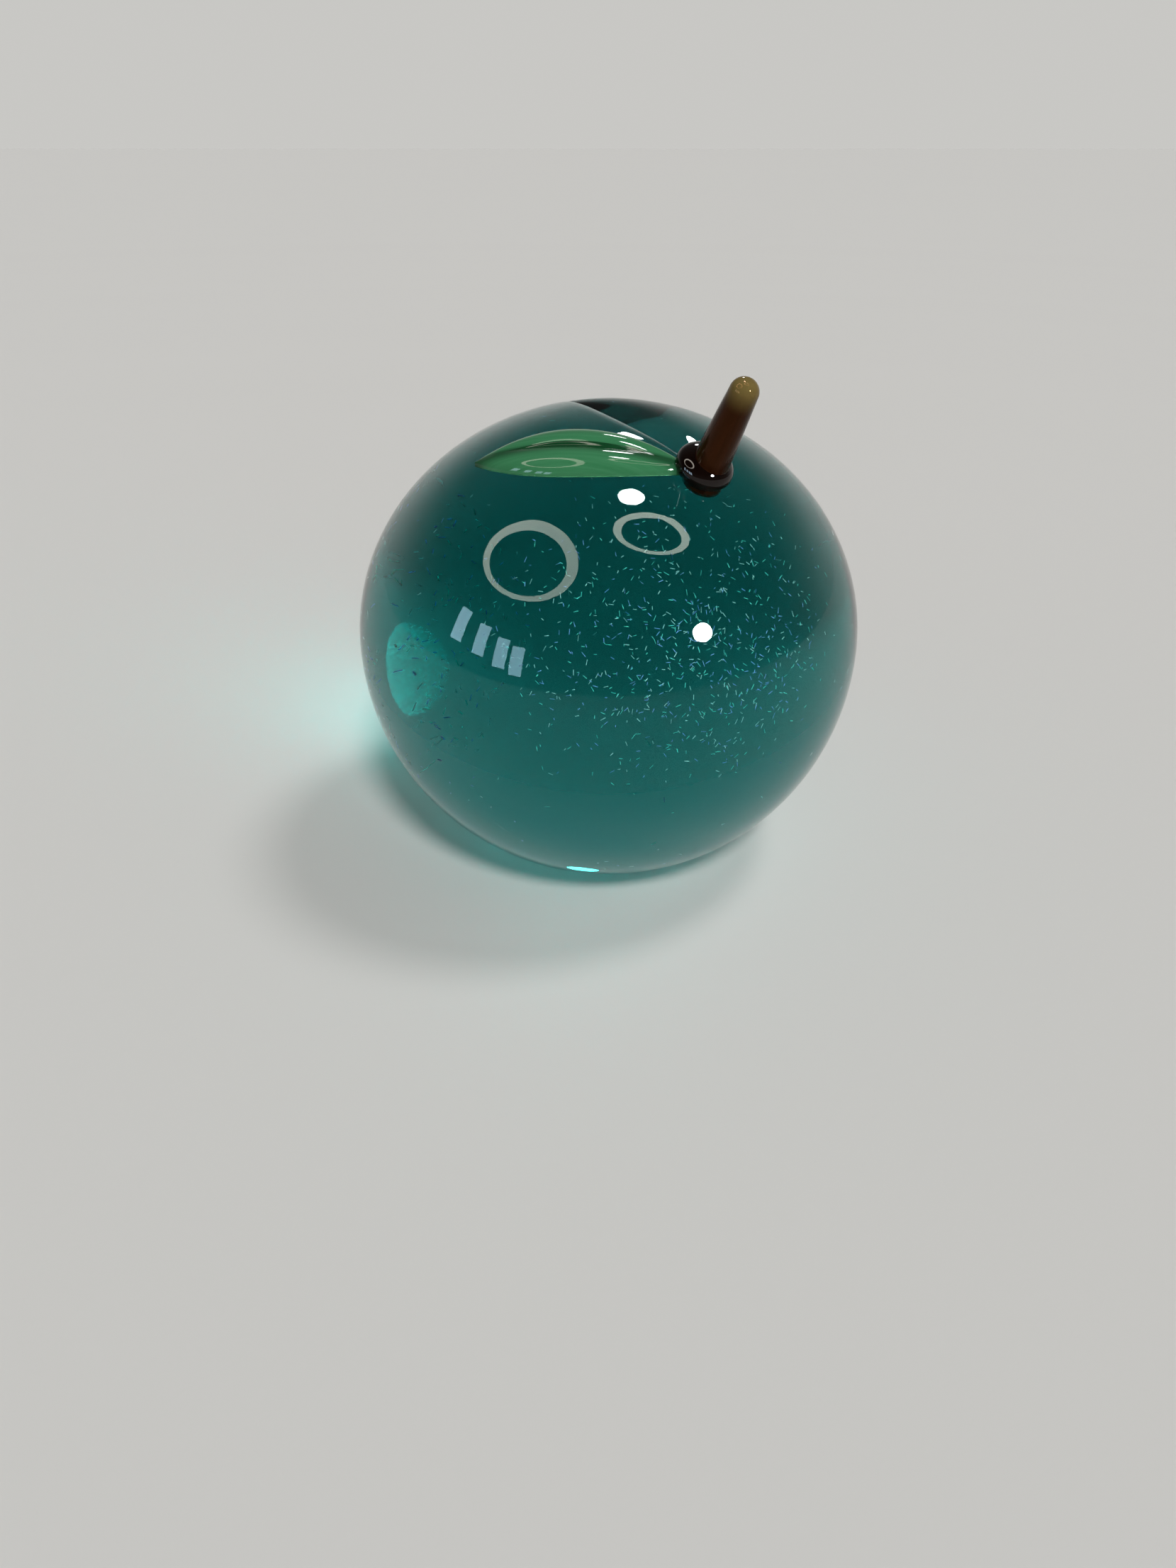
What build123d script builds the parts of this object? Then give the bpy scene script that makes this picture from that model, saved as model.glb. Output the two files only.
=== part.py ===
"""Art glass apple: a cased glass body with glitter inside, a pressed leaf and a pulled stem.

Millimetres. The origin is the centre of the ground foot, +Z is up and -Y faces the viewer.
"""
import os
from math import cos, degrees, radians, sin, sqrt

from build123d import *

os.makedirs("parts", exist_ok=True)

# Body: a ball below the equator, slightly flattened above it, ground flat to stand on
BODY_DIAMETER = 89.0
CROWN_HEIGHT = 40.0
FOOT_DIAMETER = 38.0
FOOT_BEVEL = 0.6

# Crease: pressed over the crown from the stem towards the back left, steep on the leaf's side and gentle
# behind, deepest at its reach from the stem
CREASE_HEADING = 125.5
CREASE_REACH = 19.5
CREASE_DEPTH = 3.5
CREASE_NEAR_WIDTH = 5.2
CREASE_FAR_WIDTH = 12.0
CREASE_NEAR_SLOPE = 66.0
CREASE_FAR_SLOPE = 24.0

# Inner gather: how much glass lies over it at the side, under the crease and above the foot
SIDE_WALL = 8.0
CREASE_COVER = 6.0
FOOT_WALL = 8.0

# Glitter: flat slivers just under the skin of the inner gather
FLAKE_LENGTH = 1.9
FLAKE_WIDTH = 0.45
FLAKE_THICKNESS = 0.12
FLAKE_COVER = 0.4
FLAKES_PER_COLOUR = 48
FLAKE_COLOURS = ("silver", "teal", "violet")
GOLDEN_TURN = 137.508
FLAKE_TURN = 71.0

# Stem: a pulled rod with a round tip, tilted a little along the crease, its root run down into it
STEM_FROM_CENTRE = 24.3
STEM_BEARING = -54.6
STEM_TILT = 1.5
STEM_HEIGHT = 17.6
STEM_BASE_DIAMETER = 6.4
STEM_TIP_DIAMETER = 4.2
STEM_TIP_ROUND = 1.9
STEM_ROOT = 4.0

# Collar: the bun of hot glass round the stem, shifted along the crease
COLLAR_DIAMETER = 9.2
COLLAR_HEIGHT = 4.1
COLLAR_UNDERCUT = 1.4
COLLAR_SHIFT = 0.8

# Leaf: a pressed blade lying on the crown, its end tucked under the foot of the stem
LEAF_HEADING = 168.4
LEAF_LENGTH = 35.2
LEAF_WIDTH = 11.5
LEAF_BELLY = 15.5
LEAF_SIDESTEP = 1.3
LEAF_THICKNESS = 2.2
LEAF_CROWN_RADIUS = 32.0
LEAF_EDGE_RADIUS = 0.8
LEAF_TIP_RADIUS = 1.0
LEAF_TUCK = 2.0

# Midrib: a shallow valley pressed along the leaf, with a dark trail of glass at its bottom
VALLEY_DEPTH = 0.9
VALLEY_NEAR_WIDTH = 3.4
VALLEY_FAR_WIDTH = 2.4
VALLEY_NEAR_SLOPE = 23.0
VALLEY_FAR_SLOPE = 35.0
VALLEY_END = 3.9
VEIN_END = 1.5
VEIN_WIDTH = 1.4
VEIN_SINK = 0.3
VEIN_FLOOR = 0.5

body_radius = BODY_DIAMETER / 2
foot_radius = FOOT_DIAMETER / 2
equator = sqrt(body_radius**2 - foot_radius**2)


def quarter(radius, rise):
    """Quarter of an ellipse, from the side of the equator to a pole on the axis."""
    pole = equator + rise
    return Bezier((radius, equator), (radius, pole), (0, pole), weights=(1, sqrt(0.5), 1))


def spheroid(radius, crown, depth):
    """Solid of two half-ellipses about Z: a crown above the equator, a depth below it."""
    upper = quarter(radius, crown)
    lower = quarter(radius, -depth)
    profile = make_face([lower, upper, Line(upper @ 1, lower @ 1)])
    half = revolve(Plane.XZ * profile, Axis.Z, 180)
    return half + half.rotate(Axis.Z, 180)


def crown_layer(height):
    """Solid that follows the body at a height above its skin."""
    return spheroid(body_radius + height, CROWN_HEIGHT + height, body_radius + height)


def crown_plane(position, heading):
    """Plane touching the crown over a plan position: Z is the outward normal, X the heading."""
    height = CROWN_HEIGHT * sqrt(1 - position.length**2 / body_radius**2)
    normal = position / body_radius**2 + Vector(0, 0, height / CROWN_HEIGHT**2)
    normal = normal.normalized()
    along = polar(1, heading)
    origin = position + Vector(0, 0, equator + height)
    return Plane(origin, x_dir=along - normal * along.dot(normal), z_dir=normal)


def polar(distance, bearing):
    """Plan vector of a length and a bearing, counted from +X towards +Y."""
    return Vector(distance * cos(radians(bearing)), distance * sin(radians(bearing)), 0)


def pointed_oval(length, width, belly):
    """Leaf-shaped face centred on the origin with its length along X, widest at belly from the tip."""
    base, tip = (-length / 2, 0), (length / 2, 0)
    left, right = (length / 2 - belly, width / 2), (length / 2 - belly, -width / 2)
    sides = [TangentArc(side, end, tangent=(end[0], 0)) for side in (left, right) for end in (base, tip)]
    return make_face(sides)


def groove(depth, crown, sides):
    """Face of a groove in a round surface: each side is its width, minus on the left, and root slope."""
    flanks = []
    for width, slope in sides:
        tangent = (width * cos(radians(slope)), abs(width) * sin(radians(slope)))
        rim = (width, sqrt(crown**2 - width**2) - crown)
        flanks.append(TangentArc((0, -depth), rim, tangent=tangent))
    right, left = (flank @ 1 for flank in flanks)
    lid = Polyline(right, right + (0, depth), left + (0, depth), left)
    return make_face([*flanks, lid])


# Body blank: the ball with its ground foot
ball = crown_layer(0)
blank = split(ball, Plane.XY, keep=Keep.TOP)
blank = chamfer(blank.faces().sort_by(Axis.Z)[0].edges(), FOOT_BEVEL)

# Crease: a wedge with two swelling flanks, laid along the crown
stem_position = polar(STEM_FROM_CENTRE, STEM_BEARING)
crease_plane = crown_plane(stem_position + polar(CREASE_REACH, CREASE_HEADING), CREASE_HEADING)
across = Plane(crease_plane.origin, x_dir=crease_plane.y_dir, z_dir=crease_plane.x_dir)
crease_sides = [(CREASE_NEAR_WIDTH, CREASE_NEAR_SLOPE), (-CREASE_FAR_WIDTH, CREASE_FAR_SLOPE)]
crown_radius = body_radius**2 / CROWN_HEIGHT
wedge = extrude(across * groove(CREASE_DEPTH, crown_radius, crease_sides), BODY_DIAMETER, both=True)
body = blank - wedge

# Inner gather, before the glitter is pressed into it
core_radius = body_radius - SIDE_WALL
core_crown = CROWN_HEIGHT - CREASE_DEPTH - CREASE_COVER
core_depth = equator - FOOT_WALL
core = spheroid(core_radius, core_crown, core_depth)
casing = body - core


def flake(index, count):
    """One sliver on an even spiral over the inner gather, turned its own way."""
    inset = FLAKE_COVER + FLAKE_THICKNESS / 2
    rise = 1 - (2 * index + 1) / count
    side = core_radius - inset
    tall = (core_crown if rise > 0 else core_depth) - inset
    bearing = index * GOLDEN_TURN
    point = polar(side * sqrt(1 - rise**2), bearing)
    normal = point / side**2 + Vector(0, 0, rise / tall)
    seat = Plane(point + Vector(0, 0, equator + tall * rise), polar(1, bearing + 90), normal)
    return seat * Rot(0, 0, index * FLAKE_TURN) * Box(FLAKE_LENGTH, FLAKE_WIDTH, FLAKE_THICKNESS)


flake_count = FLAKES_PER_COLOUR * len(FLAKE_COLOURS)
flakes = [flake(index, flake_count) for index in range(flake_count)]
core = core - flakes

# Leaf blade: the pointed oval cut from a layer on the crown, rounded, then pressed
leaf_reach = STEM_BASE_DIAMETER / 2 - LEAF_TUCK + LEAF_LENGTH / 2
leaf_middle = stem_position + polar(leaf_reach, LEAF_HEADING) + polar(LEAF_SIDESTEP, LEAF_HEADING + 90)
leaf_plane = crown_plane(leaf_middle, LEAF_HEADING)
leaf_face = pointed_oval(LEAF_LENGTH, LEAF_WIDTH, LEAF_BELLY)
points = leaf_face.vertices().sort_by(Axis.X)
leaf_face = fillet([points[0], points[-1]], LEAF_TIP_RADIUS)
leaf_prism = extrude(leaf_plane * leaf_face, LEAF_LENGTH / 2, both=True)
leaf_centre = leaf_plane.offset(LEAF_THICKNESS - LEAF_CROWN_RADIUS)
leaf = leaf_prism & leaf_centre * Sphere(LEAF_CROWN_RADIUS)
top = leaf.faces().sort_by(Axis(leaf_plane.origin, leaf_plane.z_dir))[-1]
leaf = fillet(top.edges(), LEAF_EDGE_RADIUS) - ball

# Midrib valley: a groove with swelling flanks, turned about a far axis to fade out before the leaf's ends
valley_length = LEAF_LENGTH - 2 * VALLEY_END
leaf_drop = LEAF_CROWN_RADIUS - sqrt(LEAF_CROWN_RADIUS**2 - valley_length**2 / 4)
valley_drop = leaf_drop - VALLEY_DEPTH
valley_radius = (valley_length**2 / 4 + valley_drop**2) / (2 * valley_drop)
press_plane = leaf_plane.offset(LEAF_THICKNESS)
press_across = Plane(press_plane.origin, x_dir=press_plane.y_dir, z_dir=press_plane.x_dir)
valley_sides = [(VALLEY_NEAR_WIDTH, VALLEY_NEAR_SLOPE), (-VALLEY_FAR_WIDTH, VALLEY_FAR_SLOPE)]
press_face = press_across * groove(VALLEY_DEPTH, LEAF_CROWN_RADIUS, valley_sides)
press_depth = VALLEY_DEPTH + valley_radius
press_axis = Axis(press_plane.origin - press_plane.z_dir * press_depth, press_plane.y_dir)
press_turn = degrees(LEAF_LENGTH / valley_radius)
press = revolve(press_face, press_axis, press_turn).rotate(press_axis, -press_turn / 2)
pressed = leaf - press

# Vein: a trail laid in the leaf, open to the valley and buried at its ends, with glass left under it
vein_length = valley_length - 2 * VEIN_END
vein_face = pointed_oval(vein_length, VEIN_WIDTH, vein_length / 2)
vein_prism = extrude(leaf_plane * vein_face, LEAF_LENGTH / 2, both=True)
vein_top = leaf_centre * Sphere(LEAF_CROWN_RADIUS - VEIN_SINK)
trail = (vein_prism & vein_top) - crown_layer(VEIN_FLOOR)
blade = pressed - trail
vein = trail - press

# Stem rod: a tapered turning whose root fills the end of the crease
stem_plane = crown_plane(stem_position, CREASE_HEADING)
stem_outline = Polyline(
    (0, -STEM_ROOT),
    (STEM_BASE_DIAMETER / 2, -STEM_ROOT),
    (STEM_BASE_DIAMETER / 2, 0),
    (STEM_TIP_DIAMETER / 2, STEM_HEIGHT),
    (0, STEM_HEIGHT),
    close=True,
)
stem_face = make_face(stem_outline)
shoulder = stem_face.vertices().sort_by(Axis.Y)[-2:].sort_by(Axis.X)[-1]
stem_turning = revolve(Plane.XZ * fillet(shoulder, STEM_TIP_ROUND), Axis.Z)
rod = stem_plane * Rot(0, STEM_TILT, 0) * stem_turning - body - blade - vein

# Collar: a flattened bun over the rod's foot, the crease's end and the leaf's end
bun_rise = (COLLAR_HEIGHT + COLLAR_UNDERCUT) / 2
bun_centre = (0, COLLAR_HEIGHT - bun_rise)
bun_arc = EllipticalCenterArc(bun_centre, COLLAR_DIAMETER / 2, bun_rise, -90, arc_size=180)
bun = revolve(Plane.XZ * make_face([bun_arc, Line(bun_arc @ 1, bun_arc @ 0)]), Axis.Z)
collar = stem_plane * Pos(COLLAR_SHIFT, 0, 0) * bun - body - blade - vein - rod

nodes = {
    "glass_core": core,
    "glass_casing": casing,
    "leaf_blade": blade,
    "leaf_vein": vein,
    "stem_rod": rod,
    "stem_collar": collar,
}
for place, colour in enumerate(FLAKE_COLOURS):
    nodes["flakes_" + colour] = Compound(flakes[place :: len(FLAKE_COLOURS)])
for name, shape in nodes.items():
    export_step(shape, "parts/" + name + ".step")
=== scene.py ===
import random
from math import asin, cos, pi, radians, sin, sqrt, tan

import bmesh
import bpy
from mathutils import Matrix, Vector


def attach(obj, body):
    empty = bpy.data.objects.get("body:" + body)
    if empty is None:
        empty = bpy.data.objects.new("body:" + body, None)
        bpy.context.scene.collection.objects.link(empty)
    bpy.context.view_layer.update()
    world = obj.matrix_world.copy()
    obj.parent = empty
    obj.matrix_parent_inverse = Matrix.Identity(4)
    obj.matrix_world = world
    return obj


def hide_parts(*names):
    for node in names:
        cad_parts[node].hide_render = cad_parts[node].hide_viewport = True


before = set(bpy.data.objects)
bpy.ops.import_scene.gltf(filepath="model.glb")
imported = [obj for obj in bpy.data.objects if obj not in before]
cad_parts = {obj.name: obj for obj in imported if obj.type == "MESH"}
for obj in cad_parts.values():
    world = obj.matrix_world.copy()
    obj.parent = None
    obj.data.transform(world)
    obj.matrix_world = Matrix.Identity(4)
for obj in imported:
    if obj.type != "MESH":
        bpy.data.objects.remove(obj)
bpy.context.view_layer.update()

# Outer gather of the body: a ball of clear teal soda-lime glass, its crown pressed with a crease from the
# stem to the back left and its underside ground flat to stand on. All the rest is fused to it or inside it.
MM = 0.001
body_radius = 44.5
crown_height = 40.0
foot_radius = 19.0
foot_bevel = 0.6
equator = sqrt(body_radius**2 - foot_radius**2)

stem_from_centre, stem_bearing = 24.3, -54.6
crease_reach, crease_heading, crease_depth = 19.5, 125.5, 3.5
near_width, near_slope = 5.2, radians(66)
far_width, far_slope = 12.0, radians(24)
root_round, lip_round = 1.0, 1.2


def plan(distance, bearing):
    """Plan vector of a length and a bearing in degrees, counted from +X towards +Y."""
    return Vector((distance * cos(radians(bearing)), distance * sin(radians(bearing)), 0))


def crown_frame(place, heading):
    """Matrix of the plane that touches the crown over a plan place: Z outwards, X along the heading."""
    height = crown_height * sqrt(1 - place.length_squared / body_radius**2)
    normal = (place / body_radius**2 + Vector((0, 0, height / crown_height**2))).normalized()
    along = plan(1, heading)
    along = (along - normal * along.dot(normal)).normalized()
    turn = Matrix((along, normal.cross(along), normal)).transposed().to_4x4()
    return Matrix.Translation(place + Vector((0, 0, equator + height))) @ turn


def lower_of(a, b, round_over):
    """The lower of two heights, with the corner between them rounded over."""
    blend = min(max(0.5 + 0.5 * (b - a) / round_over, 0), 1)
    return b + (a - b) * blend - round_over * blend * (1 - blend)


def flank(across, width, slope):
    """Height over the crown's plane of one swelling flank of the creasing tool: an arc from root to rim."""
    crown_radius = body_radius**2 / crown_height
    rise = crease_depth + sqrt(crown_radius**2 - width**2) - crown_radius
    arc = (width**2 + rise**2) / (2 * (width * sin(slope) - rise * cos(slope)))
    if across < 0:
        return across * tan(slope) - crease_depth
    reach = min(across, width) - arc * sin(slope)
    height = sqrt(arc**2 - reach**2)
    return height - arc * cos(slope) - crease_depth - max(across - width, 0) * reach / height


def crease_floor(across):
    """Height over the crown's plane of the creasing tool's skin, at a distance across the crease."""
    near, far = flank(across, near_width, near_slope), flank(-across, far_width, far_slope)
    return -lower_of(-near, -far, root_round)


def settle(bm, name, material, node):
    """Makes an object of a mesh drawn in millimetres, in place of a CAD node and with its slot's finish."""
    bmesh.ops.recalc_face_normals(bm, faces=bm.faces)
    bmesh.ops.scale(bm, vec=(MM, MM, MM), verts=bm.verts)
    for face in bm.faces:
        face.smooth = True
    mesh = bpy.data.meshes.new(name)
    bm.to_mesh(mesh)
    bm.free()
    mesh.materials.append(material)
    piece = bpy.data.objects.new(name, mesh)
    bpy.context.scene.collection.objects.link(piece)
    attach(piece, "root")
    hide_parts(node)


stem_place = plan(stem_from_centre, stem_bearing)
crease_frame = crown_frame(stem_place + plan(crease_reach, crease_heading), crease_heading)

bm = bmesh.new()
bm.verts.new((0, 0, body_radius))
crown_turn = radians(42)
foot_turn = pi - asin((foot_radius + foot_bevel) / body_radius)
for turn, steps in ((crown_turn, 88), (foot_turn - crown_turn, 64)):
    bm.verts.ensure_lookup_table()
    bmesh.ops.spin(bm, geom=[bm.verts[-1]], cent=(0, 0, 0), axis=(0, 1, 0), angle=turn, steps=steps)
bm.verts.ensure_lookup_table()
for vert in bm.verts:
    flatten = crown_height / body_radius if vert.co.z > 0 else 1
    vert.co.z = equator + vert.co.z * flatten
foot_rim = bm.verts[-1]
for rim_radius in (foot_radius - foot_bevel, foot_radius / 2, 0):
    made = bmesh.ops.extrude_vert_indiv(bm, verts=[foot_rim])
    foot_rim = made["verts"][0]
    foot_rim.co = (rim_radius, 0, 0)
profile = bm.verts[:] + bm.edges[:]
bmesh.ops.spin(
    bm, geom=profile, cent=(0, 0, 0), axis=(0, 0, 1), angle=2 * pi, steps=256, use_merge=True
)
bmesh.ops.remove_doubles(bm, verts=bm.verts, dist=0.001)
to_crease = crease_frame.inverted()
for vert in bm.verts:
    local = to_crease @ vert.co
    local.z = lower_of(local.z, crease_floor(local.y), lip_round)
    vert.co = crease_frame @ local
sharp_from = foot_radius - foot_bevel - 0.1
for edge in bm.edges:
    edge.smooth = not all(v.co.z < 0.01 and v.co.xy.length > sharp_from for v in edge.verts)


def linear(colour):
    """Linear RGBA of an sRGB hex colour."""
    parts = [int(colour[i : i + 2], 16) / 255 for i in (1, 3, 5)]
    return [c / 12.92 if c <= 0.04045 else ((c + 0.055) / 1.055) ** 2.4 for c in parts] + [1.0]


def add(material, kind, links=(), **settings):
    """Adds a node: settings are its properties, and links are its sockets' values or the sockets fed in."""
    tree = material.node_tree
    node = tree.nodes.new("ShaderNode" + kind)
    for name, value in settings.items():
        setattr(node, name, value)
    for socket, value in dict(links).items():
        if isinstance(value, bpy.types.NodeSocket):
            tree.links.new(value, node.inputs[socket])
        else:
            node.inputs[socket].default_value = value
    return node


def new_finish(name):
    """An empty material, named for what the piece is made of."""
    material = bpy.data.materials.new(name)
    material.use_nodes = True
    material.node_tree.nodes.clear()
    return material


# Clear soda-lime glass tinted with copper and cobalt, fire polished by hand: a mirror-smooth skin with slow
# ripples that bend reflections a little. The ground foot is left silky.
teal_glass = new_finish("fire polished teal glass")
where = add(teal_glass, "TexCoord").outputs["Object"]
ripple_spacing = 22 * MM
ripple = add(teal_glass, "TexNoise", {"Vector": where, "Scale": 1 / ripple_spacing, "Detail": 0.0})
bump = add(teal_glass, "Bump", {"Height": ripple.outputs["Fac"], "Strength": 0.3, "Distance": 0.15 * MM})
height = add(teal_glass, "SeparateXYZ", {"Vector": where}).outputs["Z"]
ground = add(
    teal_glass,
    "MapRange",
    {"Value": height, "From Min": 0.05 * MM, "From Max": 0.3 * MM, "To Min": 0.5, "To Max": 0.0},
)
skin = add(
    teal_glass,
    "BsdfPrincipled",
    {
        "Base Color": (1, 1, 1, 1),
        "Roughness": ground.outputs["Result"],
        "IOR": 1.5,
        "Specular Tint": (0.4, 0.5, 0.5, 1),
        "Transmission Weight": 1.0,
        "Normal": bump.outputs["Normal"],
    },
)
tint = add(teal_glass, "VolumeAbsorption", {"Color": (0.0, 0.665, 0.66, 1), "Density": 58.0})
add(teal_glass, "OutputMaterial", {"Surface": skin.outputs["BSDF"], "Volume": tint.outputs["Volume"]})
settle(bm, "body_casing", teal_glass, "glass_casing")

# Inner gather: the first, slightly deeper teal gather that the glitter was rolled onto before the casing went
# over it. It is fused to the casing, so its skin neither bends nor reflects light.
core_radius, core_crown, core_depth = 36.5, 30.5, equator - 8.0
bm = bmesh.new()
bmesh.ops.create_uvsphere(bm, u_segments=96, v_segments=48, radius=1)
for vert in bm.verts:
    tall = core_crown if vert.co.z > 0 else core_depth
    vert.co = (vert.co.x * core_radius, vert.co.y * core_radius, equator + vert.co.z * tall)
deep_glass = new_finish("deep teal glass gather")
skin = add(
    deep_glass,
    "BsdfPrincipled",
    {"Base Color": (1, 1, 1, 1), "Roughness": 0.0, "IOR": 1.0, "Transmission Weight": 1.0},
)
tint = add(deep_glass, "VolumeAbsorption", {"Color": (0.0, 0.67, 0.66, 1), "Density": 8.0})
add(deep_glass, "OutputMaterial", {"Surface": skin.outputs["BSDF"], "Volume": tint.outputs["Volume"]})
settle(bm, "body_core", deep_glass, "glass_core")

# Glitter: slivers of dichroic-coated glass, rolled onto the hot inner gather in three colours. They lie under
# its skin, each turned and tipped its own way, so that only some catch the light. They are thickest at the
# front right, where they were rolled on. An extra patch of flakes at the back left sits where light from the
# right is focused by the ball; it stands in for a bright patch of focused light.
flakes_per_colour = 560
flake_cover, flake_scatter = 0.5, 3.0
flake_lengths, flake_widths, flake_thickness = (0.3, 0.85), (0.05, 0.11), 0.05
flake_tip = 40
rolled_on = Vector((0.3, -0.87, 0.38)).normalized()
# Direction to where light from the right comes to a focus inside the ball, opposite to that lamp
focus_patch = Vector((-0.62, 0.667, -0.413)).normalized()
random.seed(7)
for colour, hexes in {
    "silver": ("#FFFFFF", "#E2F4F4"),
    "teal": ("#A6FFF0", "#5CE6DC"),
    "violet": ("#C2C6FF", "#8EA6FF"),
}.items():
    bm = bmesh.new()
    while len(bm.faces) < 6 * flakes_per_colour:
        rise, bearing = random.uniform(-1, 1), random.uniform(0, 360)
        inset = flake_cover + flake_scatter * random.random() ** 2
        side = core_radius - inset
        tall = (core_crown if rise > 0 else core_depth) - inset
        spot = plan(side * sqrt(1 - rise**2), bearing)
        normal = (spot / side**2 + Vector((0, 0, rise / tall))).normalized()
        spot.z = equator + tall * rise
        facing = normal.dot(rolled_on)
        # The last term heaps extra flakes where the focused light from the right falls, standing in for a
        # bright patch of light
        share = 0.015 + max((facing - 0.6) / 0.4, 0) ** 1.5 + (normal.dot(focus_patch) > 0.9)
        if random.random() > share:
            continue
        fineness = 1 if facing > 0.2 else 0.7
        lie = normal.to_track_quat("Z", "Y").to_matrix().to_4x4()
        twist = Matrix.Rotation(random.uniform(0, pi), 4, "Z")
        tip = Matrix.Rotation(radians(random.gauss(0, flake_tip / 2)), 4, "X")
        length = random.uniform(*flake_lengths) * fineness
        width = random.uniform(*flake_widths) * fineness
        size = Matrix.Diagonal((length, width, flake_thickness, 1))
        place = Matrix.Translation(spot) @ lie @ twist @ tip @ size
        bmesh.ops.create_cube(bm, size=1, matrix=place)
    glitter = new_finish(colour + " dichroic glitter")
    # A bright metal film whose colour shifts from sliver to sliver
    where = add(glitter, "TexCoord").outputs["Object"]
    shift = add(glitter, "TexNoise", {"Vector": where, "Scale": 1 / (3 * MM), "Detail": 0.0})
    film = add(
        glitter,
        "Mix",
        {0: shift.outputs["Fac"], 6: linear(hexes[0]), 7: linear(hexes[1])},
        data_type="RGBA",
    )
    shine = add(
        glitter, "BsdfPrincipled", {"Base Color": film.outputs[2], "Metallic": 0.6, "Roughness": 0.3}
    )
    add(glitter, "OutputMaterial", {"Surface": shine.outputs["BSDF"]})
    settle(bm, "glitter_" + colour, glitter, "flakes_" + colour)

# Leaf: a blob of opaque green glass pressed into a pointed blade while hot and laid on the crown, with a
# valley pressed along its midrib. It is fused to the body over its whole underside.
leaf_heading, leaf_length, leaf_width, leaf_belly = 168.4, 35.2, 11.5, 15.5
leaf_thickness, leaf_crown_radius, leaf_sidestep = 2.2, 32.0, 1.3
stem_base, leaf_tuck = 6.4, 2.0
valley_depth, valley_near, valley_far, valley_end = 0.9, 3.4, 2.4, 3.9
leaf_sink, leaf_edge = 0.25, 0.35
leaf_cover = 0.995
leaf_place = stem_place + plan(stem_base / 2 - leaf_tuck + leaf_length / 2, leaf_heading)
leaf_place += plan(leaf_sidestep, leaf_heading + 90)
leaf_frame = crown_frame(leaf_place, leaf_heading)


def leaf_half_width(along):
    """Half the leaf's width at a distance along it from its middle, towards the tip."""
    belly = leaf_length / 2 - leaf_belly
    run = leaf_belly if along > belly else leaf_length - leaf_belly
    half = leaf_width / 2
    arc = (run**2 + half**2) / (2 * half)
    return max(half - arc + sqrt(arc**2 - (along - belly) ** 2), 0)


def on_crown(along, across, height):
    """Point at a height over the crown, under a place given along and across the leaf."""
    start = leaf_frame @ Vector((along, across, 0)) - Vector((0, 0, equator))
    ray = leaf_frame.to_3x3() @ Vector((0, 0, 1))
    squash = Vector((1 / body_radius, 1 / body_radius, 1 / crown_height))
    a, b = start * squash, ray * squash
    reach = (-a.dot(b) + sqrt(a.dot(b) ** 2 - b.dot(b) * (a.dot(a) - 1))) / b.dot(b)
    return start + ray * (reach + height) + Vector((0, 0, equator))


def leaf_height(along, share):
    """Thickness of the leaf at a place along it and at a share of its half width."""
    across = share * leaf_half_width(along)
    drop = (along**2 + across**2) / (2 * leaf_crown_radius) - (along**2 + across**2) / (2 * body_radius)
    thick = max(leaf_thickness - drop, leaf_edge)
    fade = max(1 - (2 * along / (leaf_length - 2 * valley_end)) ** 2, 0)
    valley = valley_depth * fade * max(1 - abs(across) / (valley_near if across > 0 else valley_far), 0) ** 2
    return (thick - valley) * (1 - abs(share) ** 3) ** 0.6


bm = bmesh.new()
bmesh.ops.create_grid(bm, x_segments=88, y_segments=36, size=1)
upper = bmesh.ops.extrude_face_region(bm, geom=bm.faces[:], use_keep_orig=True)["geom"]
upper = {item for item in upper if isinstance(item, bmesh.types.BMVert)}
for vert in bm.verts:
    along = leaf_length / 2 * sin(vert.co.x * pi / 2) * leaf_cover
    share = sin(vert.co.y * pi / 2)
    height = leaf_height(along, share) if vert in upper else 0
    vert.co = on_crown(along, share * leaf_half_width(along), height - leaf_sink)
bmesh.ops.remove_doubles(bm, verts=bm.verts, dist=0.002)

# Opaque green glass, glossy from the fire, with fine streaks drawn along the leaf, and painted shade that
# darkens it beside the midrib on the valley's near slope
green_glass = new_finish("opaque green glass")
where = add(green_glass, "TexCoord").outputs["Object"]
to_leaf = leaf_frame.inverted()
placed = add(
    green_glass,
    "Mapping",
    {"Vector": where, "Rotation": to_leaf.to_euler(), "Location": to_leaf.to_translation() * MM},
)
apart = add(green_glass, "SeparateXYZ", {"Vector": placed.outputs["Vector"]})
streak_gap, streak_run = 0.5 * MM, 14 * MM
drawn = add(
    green_glass,
    "Mapping",
    {"Vector": placed.outputs["Vector"], "Scale": (1 / streak_run, 1 / streak_gap, 1 / streak_run)},
)
streak = add(green_glass, "TexNoise", {"Vector": drawn.outputs["Vector"], "Scale": 1.0, "Detail": 2.0})
streak_tone = add(
    green_glass,
    "Mix",
    {0: streak.outputs["Fac"], 6: linear("#2F7449"), 7: linear("#498B61")},
    data_type="RGBA",
)
# Painted shade: the leaf is darkened in the valley beside the midrib, most on its near slope and only briefly
# on its far slope
valley_shade_across = add(
    green_glass,
    "MapRange",
    {"Value": apart.outputs["Y"], "From Min": 0.3 * MM, "From Max": 2.4 * MM, "To Min": 0.85, "To Max": 0.0},
    interpolation_type="SMOOTHSTEP",
)
near_side = add(
    green_glass,
    "MapRange",
    {"Value": apart.outputs["Y"], "From Min": -0.9 * MM, "From Max": 0.0, "To Min": 0.0, "To Max": 1.0},
    interpolation_type="SMOOTHSTEP",
)
painted_valley_shade = add(
    green_glass, "Math", {0: valley_shade_across.outputs["Result"], 1: near_side.outputs["Result"]}, operation="MULTIPLY"
)
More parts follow.
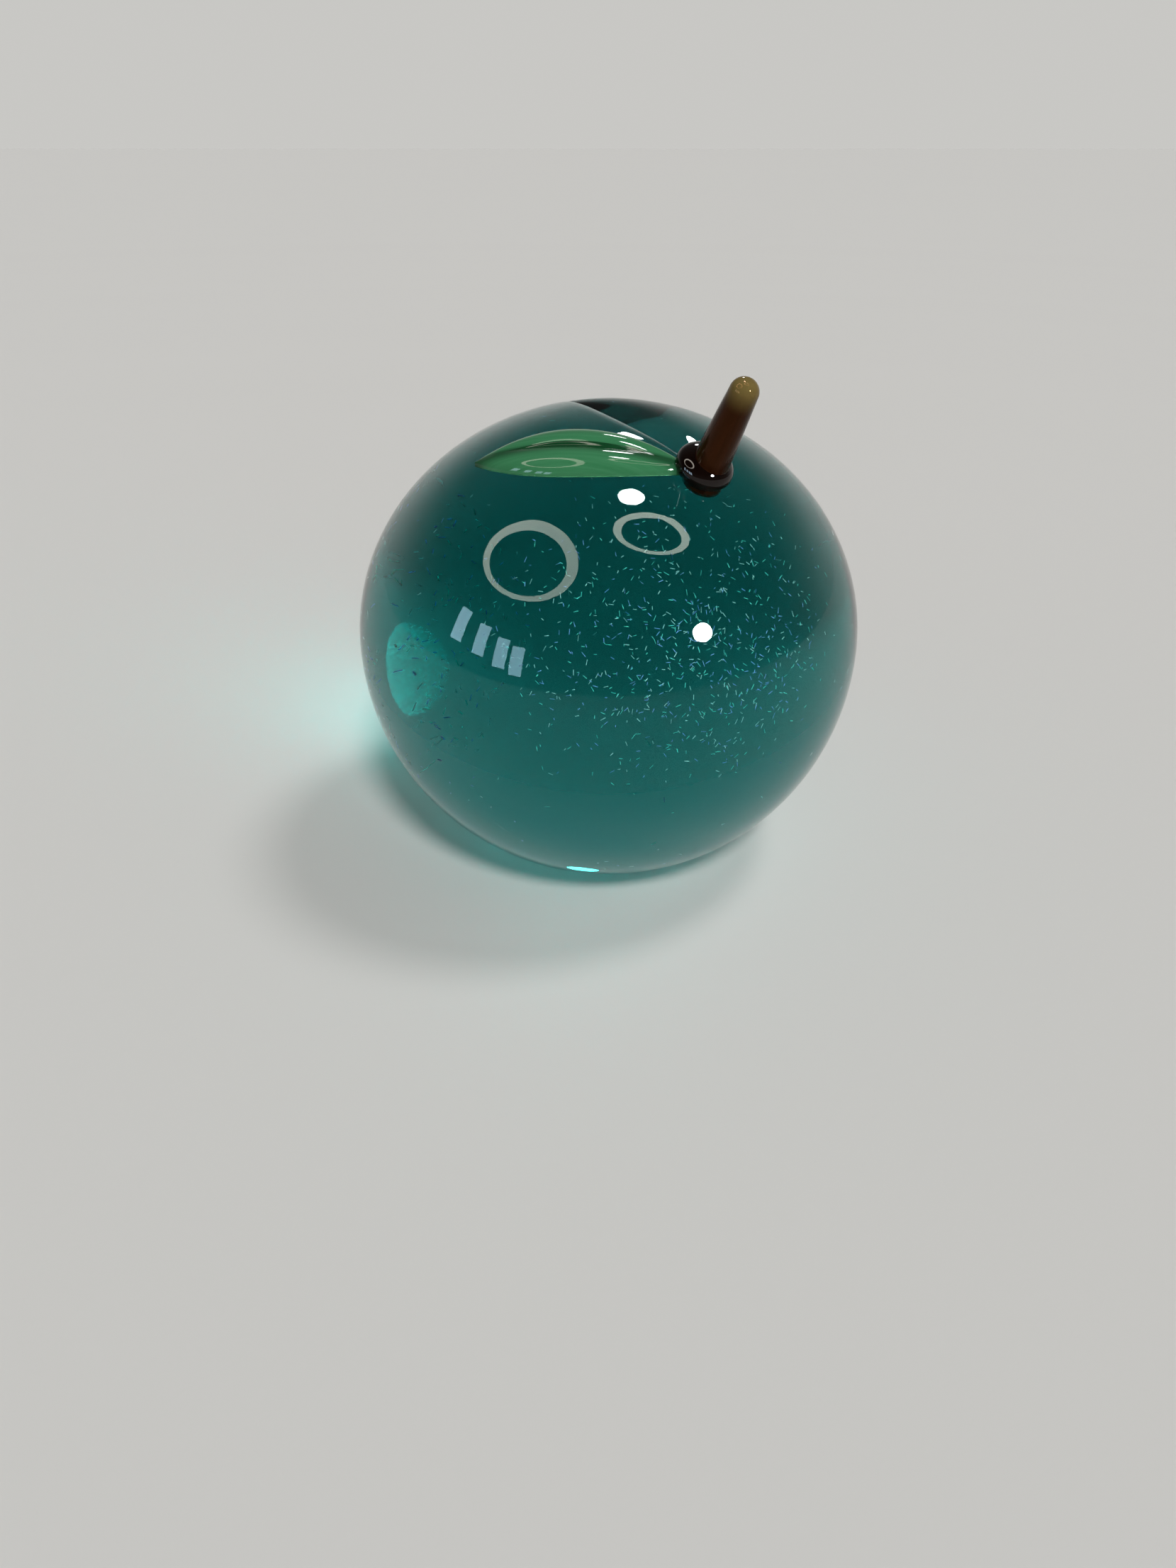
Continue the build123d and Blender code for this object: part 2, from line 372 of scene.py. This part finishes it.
# Mixes the streaked green towards dark green by the painted shade in the valley
leaf_tone = add(
    green_glass,
    "Mix",
    {0: painted_valley_shade.outputs[0], 6: streak_tone.outputs[2], 7: linear("#164327")},
    data_type="RGBA",
)
gloss = add(
    green_glass,
    "BsdfPrincipled",
    {"Base Color": leaf_tone.outputs[2], "Roughness": 0.04, "IOR": 1.5, "Specular IOR Level": 0.18},
)
add(green_glass, "OutputMaterial", {"Surface": gloss.outputs["BSDF"]})
settle(bm, "leaf_pressed", green_glass, "leaf_blade")

# Vein: a thin trail of dark green glass laid along the leaf before it was pressed, so that it lies flush at
# the bottom of the valley and runs out to a point at both ends.
vein_end, vein_width, vein_proud, vein_depth = 1.5, 1.4, 0.05, 0.4
vein_length = leaf_length - 2 * valley_end - 2 * vein_end
bm = bmesh.new()
bmesh.ops.create_grid(bm, x_segments=64, y_segments=8, size=1)
upper = bmesh.ops.extrude_face_region(bm, geom=bm.faces[:], use_keep_orig=True)["geom"]
upper = {item for item in upper if isinstance(item, bmesh.types.BMVert)}
for vert in bm.verts:
    along = vein_length / 2 * vert.co.x
    across = vein_width / 2 * vert.co.y * (1 - vert.co.x**2)
    height = leaf_height(along, across / leaf_half_width(along)) - leaf_sink
    dome = vein_proud * (1 - vert.co.y**2) * (1 - vert.co.x**2)
    vert.co = on_crown(along, across, height + dome if vert in upper else height - vein_depth)
bmesh.ops.remove_doubles(bm, verts=bm.verts, dist=0.002)
vein_glass = new_finish("dark green glass trail")
where = add(vein_glass, "TexCoord").outputs["Object"]
cloud = add(vein_glass, "TexNoise", {"Vector": where, "Scale": 1 / (2.5 * MM), "Detail": 2.0})
vein_tone = add(
    vein_glass, "Mix", {0: cloud.outputs["Fac"], 6: linear("#0F3A20"), 7: linear("#194F2C")}, data_type="RGBA"
)
gloss = add(
    vein_glass,
    "BsdfPrincipled",
    {"Base Color": vein_tone.outputs[2], "Roughness": 0.06, "IOR": 1.5, "Specular IOR Level": 0.25},
)
add(vein_glass, "OutputMaterial", {"Surface": gloss.outputs["BSDF"]})
settle(bm, "leaf_trail", vein_glass, "leaf_vein")

# Stem: a rod of brown amber glass pulled out of a hot bit until it tapers, its tip rounded in the flame. Its
# foot runs down into the end of the crease and is fused there.
stem_height, stem_tip, stem_round, stem_tilt = 17.6, 4.2, 1.9, 1.5
stem_root = 2.0
stem_frame = crown_frame(stem_place, crease_heading)
bm = bmesh.new()
bmesh.ops.create_cone(
    bm,
    cap_ends=True,
    segments=64,
    radius1=stem_base / 2,
    radius2=stem_tip / 2,
    depth=stem_height + stem_root,
    matrix=Matrix.Translation((0, 0, (stem_height - stem_root) / 2)),
)
rim = [e for e in bm.edges if all(v.co.z > stem_height - 0.01 for v in e.verts)]
bmesh.ops.bevel(
    bm, geom=rim, offset=stem_round, affect="EDGES", segments=12, profile=0.5, material=-1, clamp_overlap=True
)
pulls = [e for e in bm.edges if abs(e.verts[0].co.z - e.verts[1].co.z) > stem_height / 2]
bmesh.ops.subdivide_edges(bm, edges=pulls, cuts=24, use_grid_fill=True)
bmesh.ops.transform(
    bm, matrix=stem_frame @ Matrix.Rotation(radians(stem_tilt), 4, "Y"), verts=bm.verts
)
# Brown amber glass: almost black where it is thick, paler and yellower towards the thin tip
amber_glass = new_finish("pulled brown amber glass")
where = add(amber_glass, "TexCoord").outputs["Object"]
to_stem = stem_frame.inverted()
placed = add(
    amber_glass,
    "Mapping",
    {"Vector": where, "Rotation": to_stem.to_euler(), "Location": to_stem.to_translation() * MM},
)
height = add(amber_glass, "SeparateXYZ", {"Vector": placed.outputs["Vector"]}).outputs["Z"]
pull_gap, pull_run = 0.8 * MM, 9 * MM
drawn = add(
    amber_glass,
    "Mapping",
    {"Vector": placed.outputs["Vector"], "Scale": (1 / pull_gap, 1 / pull_gap, 1 / pull_run)},
)
pull = add(amber_glass, "TexNoise", {"Vector": drawn.outputs["Vector"], "Scale": 1.0, "Detail": 1.0})
brown = add(
    amber_glass, "Mix", {0: pull.outputs["Fac"], 6: linear("#190A03"), 7: linear("#321608")}, data_type="RGBA"
)
thin = add(
    amber_glass,
    "MapRange",
    {"Value": height, "From Min": 13 * MM, "From Max": stem_height * MM, "To Min": 0.0, "To Max": 1.0},
    interpolation_type="SMOOTHSTEP",
)
stem_tone = add(
    amber_glass,
    "Mix",
    {0: thin.outputs["Result"], 6: brown.outputs[2], 7: linear("#75653A")},
    data_type="RGBA",
)
gloss = add(
    amber_glass,
    "BsdfPrincipled",
    {
        "Base Color": stem_tone.outputs[2],
        "Roughness": 0.02,
        "IOR": 1.5,
        "Specular IOR Level": 0.2,
        "Specular Tint": linear("#FFB070"),
    },
)
add(amber_glass, "OutputMaterial", {"Surface": gloss.outputs["BSDF"]})
settle(bm, "stem_pulled", amber_glass, "stem_rod")

# Collar: a bun of the same brown glass dropped round the stem's foot, over the ends of the leaf and the
# crease. It is thick enough to look black.
collar_width, collar_height, collar_undercut, collar_shift = 9.2, 4.1, 1.4, 0.8
bun_rise = (collar_height + collar_undercut) / 2
bm = bmesh.new()
bmesh.ops.create_uvsphere(bm, u_segments=64, v_segments=32, radius=1)
bun_size = (collar_width / 2, collar_width / 2, bun_rise)
bun_place = Matrix.Translation((collar_shift, 0, collar_height - bun_rise)) @ Matrix.Diagonal((*bun_size, 1))
bmesh.ops.transform(bm, matrix=stem_frame @ bun_place, verts=bm.verts)
dark_glass = new_finish("dark brown glass bun")
where = add(dark_glass, "TexCoord").outputs["Object"]
cloud = add(dark_glass, "TexNoise", {"Vector": where, "Scale": 1 / (4 * MM), "Detail": 1.0})
bun_tone = add(
    dark_glass, "Mix", {0: cloud.outputs["Fac"], 6: linear("#080403"), 7: linear("#160A06")}, data_type="RGBA"
)
gloss = add(
    dark_glass,
    "BsdfPrincipled",
    {"Base Color": bun_tone.outputs[2], "Roughness": 0.03, "IOR": 1.5, "Specular IOR Level": 0.3},
)
add(dark_glass, "OutputMaterial", {"Surface": gloss.outputs["BSDF"]})
settle(bm, "stem_bun", dark_glass, "stem_collar")

# Floor: a plain pale matt surface that the ground foot stands on
bm = bmesh.new()
bmesh.ops.create_grid(bm, x_segments=1, y_segments=1, size=6)
floor_mesh = bpy.data.meshes.new("floor")
bm.to_mesh(floor_mesh)
bm.free()
floor = bpy.data.objects.new("floor", floor_mesh)
floor.location.z = -0.02 * MM
bpy.context.scene.collection.objects.link(floor)
pale_floor = new_finish("pale matt floor")
matt = add(
    pale_floor,
    "BsdfPrincipled",
    {"Base Color": linear("#E1E0DD"), "Roughness": 0.8, "Specular IOR Level": 0.0},
)
add(pale_floor, "OutputMaterial", {"Surface": matt.outputs["BSDF"]})
floor_mesh.materials.append(pale_floor)

# Studio light: a pale surround that dims overhead, a broad soft key from the front, and lamps that the glass
# mirrors. The surround is even where it is seen through the glass, and dimmer at the front where mirrored.
scene = bpy.context.scene
scene.world = bpy.data.worlds.new("studio")
scene.world.use_nodes = True
scene.world.node_tree.nodes.clear()
facing = add(scene.world, "TexCoord").outputs["Generated"]
apart = add(scene.world, "SeparateXYZ", {"Vector": facing})
up, back = apart.outputs["Z"], apart.outputs["Y"]
surround = 0.58
dim = add(
    scene.world,
    "MapRange",
    {"Value": up, "From Min": 0.1, "From Max": 0.6, "To Min": surround, "To Max": 0.1},
    interpolation_type="SMOOTHSTEP",
)
front = add(
    scene.world,
    "MapRange",
    {"Value": back, "From Min": -0.1, "From Max": 0.8, "To Min": 0.15, "To Max": 1.0},
    interpolation_type="SMOOTHSTEP",
)
ray = add(scene.world, "LightPath").outputs
mirrored = add(
    scene.world, "Math", {0: ray["Is Glossy Ray"], 1: ray["Is Reflection Ray"]}, operation="MULTIPLY"
)
share = add(scene.world, "Mix", {0: mirrored.outputs[0], 2: 1.0, 3: front.outputs["Result"]})
level = add(scene.world, "Math", {0: dim.outputs["Result"], 1: share.outputs[0]}, operation="MULTIPLY")
level = add(scene.world, "Mix", {0: ray["Is Transmission Ray"], 2: level.outputs[0], 3: surround})
sky = add(scene.world, "Background", {"Color": linear("#FFFEFA"), "Strength": level.outputs[0]})
add(scene.world, "OutputWorld", {"Surface": sky.outputs["Background"]})

body_middle = Vector((0, 0, equator * MM))
lamp_distance = 1.0


def lamp(name, kind, toward, strength, serves, away=lamp_distance, **shape):
    """A lamp seen from the apple in a direction, for the room, the mirroring skin or the glass inside."""
    light = bpy.data.lights.new(name, kind)
    light.energy = strength
    for setting, value in shape.items():
        setattr(light, setting, value)
    holder = bpy.data.objects.new(name, light)
    direction = Vector(toward).normalized()
    holder.location = body_middle + direction * away
    holder.rotation_euler = direction.to_track_quat("Z", "Y").to_euler()
    holder.visible_diffuse = "room" in serves
    holder.visible_glossy = "skin" in serves
    holder.visible_transmission = "inside" in serves
    holder.visible_camera = False
    bpy.context.scene.collection.objects.link(holder)


def ring_lamp(name, toward, facing, strength, radius, tube):
    """A round tube lamp seen from the apple in a direction and facing its own way, for reflections only."""
    bm = bmesh.new()
    bmesh.ops.create_circle(bm, segments=64, radius=radius)
    rim = bmesh.ops.extrude_edge_only(bm, edges=bm.edges[:])["geom"]
    inner = [item for item in rim if isinstance(item, bmesh.types.BMVert)]
    bmesh.ops.scale(bm, vec=[1 - tube / radius] * 3, verts=inner)
    spot = body_middle + Vector(toward).normalized() * lamp_distance
    turn = Vector(facing).to_track_quat("Z", "Y").to_matrix().to_4x4()
    bmesh.ops.transform(bm, matrix=Matrix.Translation(spot) @ turn, verts=bm.verts)
    mesh = bpy.data.meshes.new(name)
    bm.to_mesh(mesh)
    bm.free()
    glow = new_finish(name + " glow")
    tube_light = add(glow, "Emission", {"Color": linear("#FFF6E8"), "Strength": strength})
    add(glow, "OutputMaterial", {"Surface": tube_light.outputs["Emission"]})
    mesh.materials.append(glow)
    holder = bpy.data.objects.new(name, mesh)
    holder.visible_camera = holder.visible_diffuse = False
    holder.visible_transmission = holder.visible_shadow = False
    bpy.context.scene.collection.objects.link(holder)


from_right = (0.62, -0.667, 0.413)
lamp("key", "SUN", (0.16, -0.66, 0.73), 1.65, ["room"], angle=radians(10))
lamp("side", "SUN", (0.42, 0.08, 0.9), 0.72, ["room"], angle=radians(14))
lamp("overhead", "AREA", (0.125, 0.102, 0.987), 3.2, ["skin", "inside"], shape="DISK", size=0.15)
lamp("behind", "AREA", (0.1, 0.75, 0.65), 1.2, ["skin", "inside"], shape="DISK", size=0.12)
lamp("right", "AREA", from_right, 20.0, ["skin"], shape="DISK", size=0.15)
lamp("right glow", "AREA", from_right, 22.0, ["inside"], 1.05 * lamp_distance, shape="DISK", size=0.25)
for across, tall in ((-0.9, 0.3), (-0.82, 0.27), (-0.72, 0.23), (-0.63, 0.2)):
    toward = (across, -sqrt(1 - across**2 - tall**2), tall)
    box = {"shape": "RECTANGLE", "size": 0.1, "size_y": 0.24, "color": (0.6, 0.8, 1)}
    lamp("left box", "AREA", toward, 1.0, ["skin"], **box)
ring_lamp("left ring", (-0.545, -0.334, 0.769), (0, 0, 1), 10.0, 0.37, 0.07)
ring_lamp("right ring", (0.259, -0.22, 0.941), (0.2, 0.55, 0.81), 13.0, 0.24, 0.05)

# Camera: level with the photograph's, looking down on the apple
camera_data = bpy.data.cameras.new("camera")
camera_data.lens = 25.58
camera_data.sensor_width = 36.0
camera_data.clip_start = 0.01
camera = bpy.data.objects.new("camera", camera_data)
camera.location = (-3.6 * MM, -189.4 * MM, 120.4 * MM)
camera.rotation_euler = (radians(90 - 30.8), 0, 0)
scene.collection.objects.link(camera)
scene.camera = camera
scene.view_settings.view_transform = "Standard"
scene.cycles.max_bounces = 24
scene.cycles.transmission_bounces = 20
scene.cycles.glossy_bounces = 8

bpy.context.view_layer.update()
